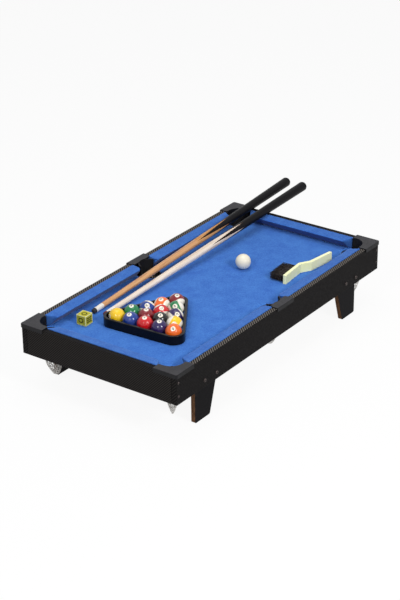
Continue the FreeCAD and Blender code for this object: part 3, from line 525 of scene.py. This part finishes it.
def bed_outline():
    """Rectangle with a round-ended notch at each middle pocket, and the four corner holes."""
    low, high = (Vector(corner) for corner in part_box("bed_cloth"))
    notches = {}
    for side in ("near", "far"):
        net_low, net_high = (Vector(corner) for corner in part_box("net_%s_middle" % side))
        radius = (net_high.x - net_low.x) / 2 - NET_WALL
        notches[side] = ((net_low + net_high) / 2, radius)
    outer = []
    for side, way, edge in (("near", 1, low.y), ("far", -1, high.y)):
        hub, r = notches[side]
        row = [Vector((low.x if way > 0 else high.x, edge))]
        row.append(Vector((hub.x - way * r, edge)))
        for k in range(NOTCH_STEPS + 1):
            a = math.pi * k / NOTCH_STEPS
            row.append(Vector((hub.x - way * r * math.cos(a), hub.y + way * r * math.sin(a))))
        row.append(Vector((hub.x + way * r, edge)))
        outer += row
    holes = []
    for corner in CORNERS:
        net_low, net_high = (Vector(c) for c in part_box("net_" + corner))
        hub = (net_low + net_high) / 2
        r = (net_high.x - net_low.x) / 2 - NET_WALL
        holes.append((hub, r))
    return low, high, outer, holes, notches


def bed_cloth():
    low, high, outer, holes, notches = bed_outline()
    border = []
    for a, b in zip(outer, outer[1:] + outer[:1]):
        cuts = max(1, round((b - a).length / CLOTH_PITCH))
        border += [a.lerp(b, k / cuts) for k in range(cuts)]
    loops = [border]
    for hub, r in holes:
        turns = [TURN * k / HOLE_STEPS for k in range(HOLE_STEPS)]
        loops.append([Vector((hub.x + r * math.cos(a), hub.y + r * math.sin(a))) for a in turns])
    points = []
    edges = []
    for loop in loops:
        start = len(points)
        points += loop
        edges += [(start + k, start + (k + 1) % len(loop)) for k in range(len(loop))]

    def on_cloth(p, margin):
        """True if p is on the cloth and at least margin from every edge of it."""
        if not (low.x + margin < p.x < high.x - margin and low.y + margin < p.y < high.y - margin):
            return False
        if any((p - hub.to_2d()).length < r + margin for hub, r in holes):
            return False
        for side, (hub, r) in notches.items():
            outward = hub.y - p.y if side == "near" else p.y - hub.y
            if (p - hub.to_2d()).length < r + margin or (abs(p.x - hub.x) < r + margin and outward > 0):
                return False
        return True
    columns = int((high.x - low.x) / CLOTH_PITCH)
    rows = int((high.y - low.y) / CLOTH_PITCH)
    for i in range(1, columns):
        for j in range(1, rows):
            p = Vector((low.x + (high.x - low.x) * i / columns, low.y + (high.y - low.y) * j / rows))
            if on_cloth(p, CLOTH_EDGE_ROOM):
                points.append(p)
    flat, _, faces, _, _, _ = delaunay_2d_cdt(points, edges, [], 0, SAME_POINT)
    bm = bmesh.new()
    top = high.z - CLOTH_DROP
    verts = [bm.verts.new((p.x, p.y, top + ripple((p.x, p.y, 0), CLOTH_WAVE, CLOTH_WAVE_HEIGHT)))
             for p in flat]
    for face in faces:
        hub = sum((flat[i] for i in face), Vector((0, 0))) / len(face)
        if on_cloth(hub, 0):
            bm.faces.new([verts[i] for i in face])
    bmesh.ops.delete(bm, geom=[v for v in bm.verts if not v.link_faces], context="VERTS")
    area = sum(face.calc_area() for face in bm.faces)
    mesh = finished(bm, "bed_cloth_sheet")
    cloth = show(mesh, "bed_cloth_sheet", LOOKS["bed_felt"])
    thick = cloth.modifiers.new("thickness", "SOLIDIFY")
    thick.thickness = CLOTH_THICK
    thick.offset = -1 if mesh.polygons[0].normal.z > 0 else 1
    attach(cloth, "table")
    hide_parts("bed_cloth")


# ---------------------------------------------------------------- cushions
SHOULDER_DROP = 2.6 * MM
FOOT_REACH = 8.9 * MM
END_SLANT = 13 * MM
END_BOW = 9 * MM
CUSHION_STEP = 6 * MM
END_SHELLS = [(0.0, 0.90), (0.25 * MM, 0.955), (0.9 * MM, 0.99), (2.2 * MM, 1.0)]  # depth, scale
PLEAT_REACH = 14 * MM
PLEAT_DEPTH = 0.22 * MM
PLEAT_SPACING = 5.5
STUFFING_WAVE = 17 * MM
STUFFING_HEIGHT = 0.16 * MM
COVER_INSET = 0.2 * MM


def cushion(node):
    """Cloth pulled round a firm strip: rounded nose, crowned top, tucked ends."""
    low, high = (Vector(corner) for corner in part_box(node))
    size = high - low
    long_x = size.x > size.y
    run, reach, rise = (size.x if long_x else size.y), (size.y if long_x else size.x), size.z
    inward = -1 if (low.y > 0 if long_x else low.x > CENTRE.x) else 1
    back = (low.y if long_x else low.x) if inward > 0 else (high.y if long_x else high.x)
    shoulder = rise - SHOULDER_DROP
    corners = [Vector((0.1 * MM, 0.1 * MM)), Vector((FOOT_REACH, 0.1 * MM)),
               Vector((reach - 2.1 * MM, shoulder - 4.6 * MM)), Vector((reach, shoulder - 2.9 * MM)),
               Vector((reach, shoulder - 1.0 * MM)), Vector((reach - 3 * MM, shoulder + 0.35 * MM)),
               Vector((reach * 0.45, rise - 1.0 * MM)), Vector((1.2 * MM, rise)),
               Vector((0.1 * MM, rise - 0.8 * MM))]
    ring = cut_corners(corners, 3)
    hub = sum(ring, Vector((0, 0))) / len(ring)

    def inset(q, rounded):
        """How far the end stands back at distance q from the rail."""
        if not rounded:
            return END_SLANT * q / reach
        past = max(0.0, q - (reach - END_BOW))
        return END_BOW - math.sqrt(max(0.0, END_BOW * END_BOW - past * past))
    if long_x:
        left_end = low.x < CENTRE.x < high.x or high.x < CENTRE.x
        rounded = (not left_end, left_end)
    else:
        rounded = (False, False)
    inner = int(run / CUSHION_STEP)
    stations = [(0, depth, scale) for depth, scale in END_SHELLS]
    stations += [(k / inner, None, 1.0) for k in range(1, inner)]
    stations += [(1, depth, scale) for depth, scale in reversed(END_SHELLS)]
    rings = []
    for share, depth, scale in stations:
        row = []
        for k, point in enumerate(ring):
            p = hub + (point - hub) * scale
            start, end = inset(p.x, rounded[0]), inset(p.x, rounded[1])
            if depth is None:
                u = start + share * (run - start - end)
            elif share == 0:
                u = start + depth
            else:
                u = run - end - depth
            near_end = max(0.0, 1 - min(u - start, run - end - u) / PLEAT_REACH)
            pleat = PLEAT_DEPTH * near_end * math.sin(k * TURN / PLEAT_SPACING)
            free = p.x > 3 * MM and p.y > 2 * MM
            wave = ripple((u, p.x, p.y), STUFFING_WAVE, STUFFING_HEIGHT, rise * 900)
            push = (wave - COVER_INSET + pleat) if free else 0
            out = (point - hub).normalized() * push
            q, z = p.x + out.x, p.y + out.y
            if long_x:
                row.append(Vector((low.x + u, back + inward * q, low.z + z)))
            else:
                row.append(Vector((back + inward * q, low.y + u, low.z + z)))
        rings.append(row)
    bm = bmesh.new()
    ring_surface(bm, rings)
    piece = show(finished(bm, node + "_cover"), node + "_cover", LOOKS["cushion_felt"])
    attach(piece, "table")
    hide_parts(node)


# ---------------------------------------------------------------- nets
STRAND = 0.62 * MM
STRAND_SIDES = 5
CORNER_STRANDS = 15
MIDDLE_STRANDS = 12
KNOT = 1.05 * MM
TOE_KNOT = 2.1 * MM
BAND_HEIGHT = 5.5 * MM
BAND_STEPS = 56
MESH_PITCH = 7.5 * MM
# section of the band that the bag hangs on: out from its radius and up from its top, in mm
BAND = [(0.0, 0.0), (0.45, -0.5), (0.3, -1.2), (0.5, -1.9), (0.3, -2.7), (0.5, -3.5), (0.35, -4.6),
        (0, -5.4), (-0.45, -5.2), (-0.45, -0.2)]


def net(node, around, waist=0.66, toe=0.26, swing=(0, 0), short=0.0):
    """Knotted bag hung from a band round the casting.

    waist and toe are its radii low down against the top, swing is how far its foot hangs off
    centre, and short how much sooner it ends.
    """
    low, high = (Vector(corner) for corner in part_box(node))
    hub = (low + high) / 2
    top_radius = (high.x - low.x) / 2 - 0.7 * MM
    band_low = high.z - BAND_HEIGHT
    floor = low.z + 1.2 * MM + short
    fall = band_low - floor
    gather = floor + 0.05 * fall
    rows = max(5, round(fall / MESH_PITCH))
    dice = random.Random(node)
    bm = bmesh.new()
    loops = []
    for k in range(BAND_STEPS):
        a = TURN * k / BAND_STEPS
        wobble = ripple((math.cos(a) * 30, math.sin(a) * 30, 0), 5, 0.12 * MM)
        loops.append([Vector((hub.x + (top_radius + wobble + q * MM) * math.cos(a),
                              hub.y + (top_radius + wobble + q * MM) * math.sin(a), high.z + z * MM))
                      for q, z in BAND])
    ring_surface(bm, loops + loops[:1], capped=False)

    def share_at(t):
        """Radius against the top: a bag that narrows slowly and closes at a blunt toe."""
        if t < 0.7:
            return 1 + (waist - 1) * (t / 0.7) ** 1.2
        return waist + (toe - waist) * ((t - 0.7) / 0.3) ** 1.3

    def knot_at(row, k):
        t = row / rows
        a = TURN * (k + 0.5 * (row % 2)) / around
        slack = 0 if row in (0, rows) else 1
        r = top_radius * share_at(t) * (1 + 0.03 * slack * dice.uniform(-1, 1)) - 0.1 * MM
        a += 0.05 * slack * dice.uniform(-1, 1)
        start = band_low + 0.6 * MM
        z = start - (start - gather) * t + slack * 0.8 * MM * dice.uniform(-1, 1)
        return Vector((hub.x + r * math.cos(a) + swing[0] * t * t,
                       hub.y + r * math.sin(a) + swing[1] * t * t, z))
    knots = [[knot_at(row, k) for k in range(around)] for row in range(rows + 1)]
    for row in range(rows):
        for k in range(around):
            here = knots[row][k]
            other = (k - 1) if row % 2 == 0 else (k + 1)
            for there in (knots[row + 1][k], knots[row + 1][other % around]):
                half = (here + there) / 2
                away = Vector((half.x - hub.x, half.y - hub.y, 0))
                sag = away.normalized() * 0.25 * MM - UP * 0.35 * MM if away.length > 2 * MM else Vector()
                tube(bm, [here, half + sag, there], STRAND, STRAND_SIDES)
            if row:
                bmesh.ops.create_icosphere(bm, subdivisions=1, radius=KNOT,
                                           matrix=Matrix.Translation(here))
    tail = Vector((hub.x + swing[0], hub.y + swing[1], floor + 2.0 * MM))
    for k in range(around):
        spread = (knots[rows][k] - tail) * 0.4
        tube(bm, [knots[rows][k], tail + spread, tail], STRAND, STRAND_SIDES)
    bmesh.ops.create_icosphere(bm, subdivisions=2, radius=TOE_KNOT,
                               matrix=Matrix.Translation(tail + UP * 0.4 * MM) @
                               Matrix.Diagonal((1, 0.85, 0.9, 1)))
    piece = show(finished(bm, node + "_mesh"), node + "_mesh", LOOKS["net_mesh"])
    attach(piece, "table")
    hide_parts(node)


# ---------------------------------------------------------------- balls
ONE_FIGURE = 6.2 * MM
TWO_FIGURES = 5.0 * MM
FIGURE_BOLD = 0.045  # of the figures' height
FIGURE_EDGE = 0.9 * MM
INK_LIFT = 0.035 * MM


def number_shapes(text, height, radius):
    """Flat figures wrapped onto a sphere, facing its local +Z and -Z."""
    curve = bpy.data.curves.new("figures", "FONT")
    curve.body = text
    curve.size = height
    curve.align_x = "CENTER"
    curve.align_y = "CENTER"
    curve.offset = FIGURE_BOLD * height
    curve.resolution_u = 5
    writer = bpy.data.objects.new("figures", curve)
    bpy.context.scene.collection.objects.link(writer)
    flat = bpy.data.meshes.new_from_object(writer.evaluated_get(bpy.context.evaluated_depsgraph_get()))
    bpy.data.objects.remove(writer)
    bm = bmesh.new()
    bm.from_mesh(flat)
    bmesh.ops.triangulate(bm, faces=bm.faces)
    long_edges = [edge for edge in bm.edges if edge.calc_length() > FIGURE_EDGE]
    bmesh.ops.subdivide_edges(bm, edges=long_edges, cuts=2)
    bmesh.ops.triangulate(bm, faces=bm.faces)
    shapes = []
    for way in (1, -1):
        points = []
        for v in bm.verts:
            z = math.sqrt(radius * radius - v.co.x ** 2 - v.co.y ** 2)
            points.append(Vector((v.co.x, way * v.co.y, way * z)) * (1 + INK_LIFT / radius))
        faces = [[v.index for v in face.verts] for face in bm.faces]
        if way < 0:
            faces = [face[::-1] for face in faces]
        shapes.append((points, faces))
    bm.free()
    return shapes


def ball(node, name, colour, number=None, striped=False, face=(0, 60), roll=0):
    """Ball with its number pointing at (turn, height) in degrees seen from above."""
    low, high = (Vector(corner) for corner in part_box(node))
    radius = (high.z - low.z) / 2
    bm = bmesh.new()
    bmesh.ops.create_icosphere(bm, subdivisions=5, radius=radius)
    if number:
        height = ONE_FIGURE if number < 10 else TWO_FIGURES
        for points, faces in number_shapes(str(number), height, radius):
            verts = [bm.verts.new(point) for point in points]
            for corners in faces:
                bm.faces.new([verts[i] for i in corners]).material_index = 1
    mesh = bpy.data.meshes.new(name)
    bm.to_mesh(mesh)
    bm.free()
    finish = ball_finish(name + "_resin", colour, striped, radius)
    piece = show(mesh, name, finish, LOOKS["number_ink"])
    turn, rise = (math.radians(a) for a in face)
    look = Vector((math.cos(rise) * math.cos(turn), math.cos(rise) * math.sin(turn), math.sin(rise)))
    spin = look.to_track_quat("Z", "Y").to_matrix().to_4x4() @ Matrix.Rotation(math.radians(roll), 4, "Z")
    piece.matrix_world = Matrix.Translation((low + high) / 2) @ spin
    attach(piece, "white_ball" if node == "cue_ball" else node)
    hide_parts(node)


# ---------------------------------------------------------------- brush
HEAD_LEAN = math.radians(5)
HAIR_LENGTH = 33 * MM
HAIR = 0.2 * MM
TUFT = 1.5 * MM
TUFT_COLUMNS, TUFT_ROWS, TUFT_HAIRS = 15, 4, 22


def bristles():
    """Rows of tufts standing out of the straight head of the brush."""
    low, high = (Vector(corner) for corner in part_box("brush_bristles"))
    along = Vector((math.cos(HEAD_LEAN), math.sin(HEAD_LEAN), 0))
    out = Vector((-math.sin(HEAD_LEAN), math.cos(HEAD_LEAN), 0))
    origin = Vector((low.x + (HAIR_LENGTH * math.sin(HEAD_LEAN)) + 2 * MM, low.y, 0))
    head = (high.x - low.x - HAIR_LENGTH * math.sin(HEAD_LEAN)) / math.cos(HEAD_LEAN) - 2.5 * MM
    dice = random.Random(11)
    bm = bmesh.new()
    for i in range(TUFT_COLUMNS):
        for j in range(TUFT_ROWS):
            u = head * (i + 0.5) / TUFT_COLUMNS
            z = low.z + (high.z - low.z) * (j + 0.5) / TUFT_ROWS
            for _ in range(TUFT_HAIRS):
                a, r = dice.uniform(0, TURN), TUFT * math.sqrt(dice.random())
                root = origin + along * (u + r * math.cos(a) * 0.9) + UP * (z + r * math.sin(a) * 0.8)
                fan_u = (u / head - 0.5) * 1.2 * MM + dice.gauss(0, 0.7) * MM
                fan_z = dice.gauss(0, 0.5) * MM
                reach = HAIR_LENGTH - 0.6 * MM - abs(dice.gauss(0, 0.7)) * MM
                tip = root + out * reach + along * fan_u + UP * fan_z
                tip.z = min(max(tip.z, low.z + 0.2 * MM), high.z - 0.2 * MM)
                half = (root + tip) / 2 + UP * dice.gauss(0, 0.25) * MM
                tube(bm, [root, half, tip], HAIR, 3, 0.7)
    piece = show(finished(bm, "brush_hair"), "brush_hair", LOOKS["brush_fibre"])
    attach(piece, "brush")
    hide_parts("brush_bristles")


# ---------------------------------------------------------------- carried-over nodes
def dress(look, *nodes, bevel=0.0):
    """Gives CAD nodes their finished material, and softens their edges where asked."""
    for name in nodes:
        node = NODES[name]
        node.data.materials.clear()
        node.data.materials.append(look)
        if bevel:
            soft = node.modifiers.new("soft_edges", "BEVEL")
            soft.width = bevel
            soft.segments = 2
            soft.limit_method = "ANGLE"
            soft.angle_limit = math.radians(40)


# ---------------------------------------------------------------- studio
def looked_at(tree):
    """1 for rays that show the background: straight to the lens, mirrored, or through something clear."""
    rays = tree.nodes.new("ShaderNodeLightPath")
    seen = rays.outputs["Is Camera Ray"]
    for kind in ("Is Glossy Ray", "Is Transmission Ray"):
        both = tree.nodes.new("ShaderNodeMath")
        both.operation = "MAXIMUM"
        tree.links.new(seen, both.inputs[0])
        tree.links.new(rays.outputs[kind], both.inputs[1])
        seen = both.outputs[0]
    return seen


def studio():
    scene = bpy.context.scene
    scene.view_settings.view_transform = "Standard"
    world = bpy.data.worlds.new("studio_world")
    scene.world = world
    world.use_nodes = True
    tree = world.node_tree
    tree.nodes.clear()
    level = tree.nodes.new("ShaderNodeMapRange")
    level.inputs["To Min"].default_value = WORLD_LEVEL
    level.inputs["To Max"].default_value = 1.0
    tree.links.new(looked_at(tree), level.inputs["Value"])
    back = tree.nodes.new("ShaderNodeBackground")
    back.inputs["Color"].default_value = (1, 1, 1, 1)
    tree.links.new(level.outputs["Result"], back.inputs["Strength"])
    out = tree.nodes.new("ShaderNodeOutputWorld")
    tree.links.new(back.outputs["Background"], out.inputs["Surface"])

    floor_material = bpy.data.materials.new("studio_floor")
    floor_material.use_nodes = True
    tree = floor_material.node_tree
    tree.nodes.clear()
    paint = tree.nodes.new("ShaderNodeBsdfDiffuse")
    paint.inputs["Color"].default_value = FLOOR_PAINT
    glow = tree.nodes.new("ShaderNodeEmission")
    glow.inputs["Strength"].default_value = 1.0
    share = tree.nodes.new("ShaderNodeMath")
    share.operation = "MULTIPLY"
    share.inputs[1].default_value = FLOOR_GLOW
    tree.links.new(looked_at(tree), share.inputs[0])
    blend = tree.nodes.new("ShaderNodeMixShader")
    tree.links.new(share.outputs[0], blend.inputs["Fac"])
    tree.links.new(paint.outputs["BSDF"], blend.inputs[1])
    tree.links.new(glow.outputs["Emission"], blend.inputs[2])
    out = tree.nodes.new("ShaderNodeOutputMaterial")
    tree.links.new(blend.outputs["Shader"], out.inputs["Surface"])
    half = FLOOR_HALF
    mesh = bpy.data.meshes.new("studio_floor")
    mesh.from_pydata([(-half, -half, 0), (half, -half, 0), (half, half, 0), (-half, half, 0)], [],
                     [(0, 1, 2, 3)])
    mesh.materials.append(floor_material)
    floor = bpy.data.objects.new("studio_floor", mesh)
    floor.location.z = -FLOOR_DROP
    scene.collection.objects.link(floor)

    for name, spot, size, power in LAMPS:
        light = bpy.data.lights.new(name, "AREA")
        light.shape = "DISK"
        light.size = size
        light.energy = power
        lamp = bpy.data.objects.new(name, light)
        place = CENTRE + Vector(spot)
        turn = (place - CENTRE).to_track_quat("Z", "Y").to_matrix().to_4x4()
        lamp.matrix_world = Matrix.Translation(place) @ turn
        scene.collection.objects.link(lamp)


def camera():
    """Long lens that looks down on the table from beyond its near left corner."""
    right, up = EYE_RIGHT, EYE_UP
    back = right.cross(up).normalized()
    view = bpy.data.cameras.new("camera")
    view.sensor_width = SENSOR
    view.sensor_fit = "VERTICAL"
    view.sensor_height = SENSOR
    view.lens = LENS
    view.clip_end = SIGHT
    eye = bpy.data.objects.new("camera", view)
    place = CENTRE + back * EYE_DISTANCE - right * EYE_LEFT - up * EYE_LOWER
    turn = Matrix((right, up, back)).transposed().to_4x4()
    eye.matrix_world = Matrix.Translation(place) @ turn
    bpy.context.scene.collection.objects.link(eye)
    bpy.context.scene.camera = eye


WORLD_LEVEL = 0.304
FLOOR_GLOW = 0.92
FLOOR_PAINT = (0.88, 0.88, 0.88, 1)
FLOOR_HALF = 9.0
FLOOR_DROP = 0.0005
EYE_RIGHT = Vector((0.58274, -0.81258, -0.01081))
EYE_UP = Vector((0.36344, 0.24870, 0.89781))
EYE_DISTANCE = 3.504
EYE_LEFT = 0.01636
EYE_LOWER = 0.03830
LENS = 105.36  # mm, on a sensor of 36 mm
SENSOR = 36
SIGHT = 100
# name, place from the table's centre, diameter, watts
LAMPS = [
    ("overhead", (0.1, 0.15, 2.2), 1.6, 18),
    ("left_box", (-2.1, -0.5, 1.5), 0.7, 17),
    ("right_box", (-0.6, -2.1, 1.5), 0.7, 34),
]

RESIN = {
    "yellow": tint(246, 200, 18), "blue": tint(20, 56, 140), "red": tint(204, 14, 24),
    "purple": tint(38, 20, 84), "orange": tint(240, 104, 24), "green": tint(4, 120, 66),
    "maroon": tint(126, 12, 26), "black": tint(12, 12, 14),
}
# deep, pale and streak colours of each cue's wood
TAN = (tint(150, 98, 58), tint(206, 152, 100), tint(222, 172, 120))
CREAM = (tint(198, 172, 150), tint(232, 216, 200), tint(240, 226, 212))
LOOKS = {
    "bed_felt": felt("bed_felt", tint(46, 96, 184), tint(74, 132, 212)),
    # painted shade: the cushion felt is a little darker than the bed felt, and darker still on faces that
    # point down
    "cushion_felt": felt("cushion_felt", tint(44, 90, 172), tint(72, 124, 202), underside_shade=0.45),
    # the last figures of each wrap give its painted highlight on end, side and top faces
    "rail_wrap": woven_wrap("wrapped_rail", 1.55 * MM, (0.1, 0.06, 0.9)),
    "end_wrap": woven_wrap("wrapped_end", 1.2 * MM, (0.17, 0.05, 0.04)),
    "board": wood_board("raw_board", tint(112, 80, 54), tint(168, 130, 92)),
    "leg": leg_finish("leg_board"),
    # the last colour is painted light on the tops of the castings
    "casting": pebbled("casting_plastic", tint(16, 16, 18), tint(26, 26, 29), painted_top_light=tint(60, 59, 63)),
    "net_mesh": nylon("net_mesh"),
    "screw": blackened("screw_metal"),
    "number_ink": ink("number_ink"),
    "rack": pebbled("rack_plastic", tint(8, 8, 10), tint(18, 18, 21), rough=0.22, grain=900, depth=0.02),
    "brush_body": pebbled("brush_body", tint(250, 253, 192), tint(255, 255, 216), rough=0.4, grain=1100),
    "brush_fibre": hair("brush_fibre"),
    "ferrule": ferrule_finish("white_ferrule"),
    "black_tip": leather_tip("black_leather", tint(18, 17, 19), tint(48, 46, 50)),
    "brown_tip": leather_tip("brown_leather", tint(70, 22, 26), tint(118, 46, 44)),
    "chalk_paper": chalk_label("chalk_paper", "chalk_wrap"),
    "chalk_block": powder("chalk_block", tint(150, 148, 60), tint(190, 188, 96)),
}

bed_cloth()
for part in ("near_left", "near_right", "far_left", "far_right", "left", "right"):
    cushion("cushion_" + part)
HANGING = {
    "near_left": {"waist": 0.36, "toe": 0.09, "short": 4 * MM},
    "far_left": {"waist": 0.64, "swing": (3 * MM, -5 * MM)},
}
for corner in CORNERS:
    net("net_" + corner, CORNER_STRANDS, **HANGING.get(corner, {}))
for side in ("near", "far"):
    net("net_%s_middle" % side, MIDDLE_STRANDS)

# number, colour, stripe, where the number looks and its roll, for each ball of the rack
RACKED = [
    (1, "yellow", False, (150, 8), 20), (2, "blue", False, (190, 66), 0),
    (3, "red", False, (208, 74), 30), (4, "purple", False, (225, 78), -20),
    (5, "orange", False, (212, 48), 10), (6, "green", False, (200, 78), 0),
    (7, "maroon", False, (230, 80), 40), (8, "black", False, (222, 62), -35),
    (9, "yellow", True, (214, 26), 60), (10, "blue", True, (218, 50), 150),
    (11, "red", True, (224, 58), 200), (12, "purple", True, (236, 40), 110),
    (13, "orange", True, (196, 70), 75), (14, "green", True, (206, 44), 120),
    (15, "maroon", True, (228, 74), 15),
]
for number, colour, striped, face, roll in RACKED:
    node = "ball_%02d" % number
    ball(node, node + "_resin", RESIN[colour], number, striped, face, roll)
ball("cue_ball", "cue_ball_resin", tint(238, 230, 208))
bristles()

dress(LOOKS["rail_wrap"], "side_panel_near", "side_panel_far")
dress(LOOKS["end_wrap"], "end_panel_left", "end_panel_right")
dress(LOOKS["board"], "bed_board", "bed_battens")
dress(LOOKS["casting"], *("corner_casting_" + corner for corner in CORNERS), "middle_casting_near",
      "middle_casting_far")
dress(LOOKS["leg"], *("leg_" + corner for corner in CORNERS))
dress(LOOKS["screw"], "leg_screws", "frame_screws")
dress(LOOKS["rack"], "triangle_rack")
dress(LOOKS["brush_body"], "brush_handle", bevel=0.8 * MM)
dress(LOOKS["chalk_paper"], "chalk_wrap")
dress(LOOKS["chalk_block"], "chalk_core")
for tag, tip, grain in (("cue_one", "black_tip", TAN), ("cue_two", "brown_tip", CREAM)):
    line = CueFrame(tag)
    dress(LOOKS[tip], tag + "_tip")
    dress(LOOKS["ferrule"], tag + "_ferrule")
    dress(shaft_finish(tag + "_shaft_wood", line, *grain), tag + "_shaft")
    dress(butt_finish(tag + "_lacquer", line, *grain), tag + "_butt")

studio()
camera()
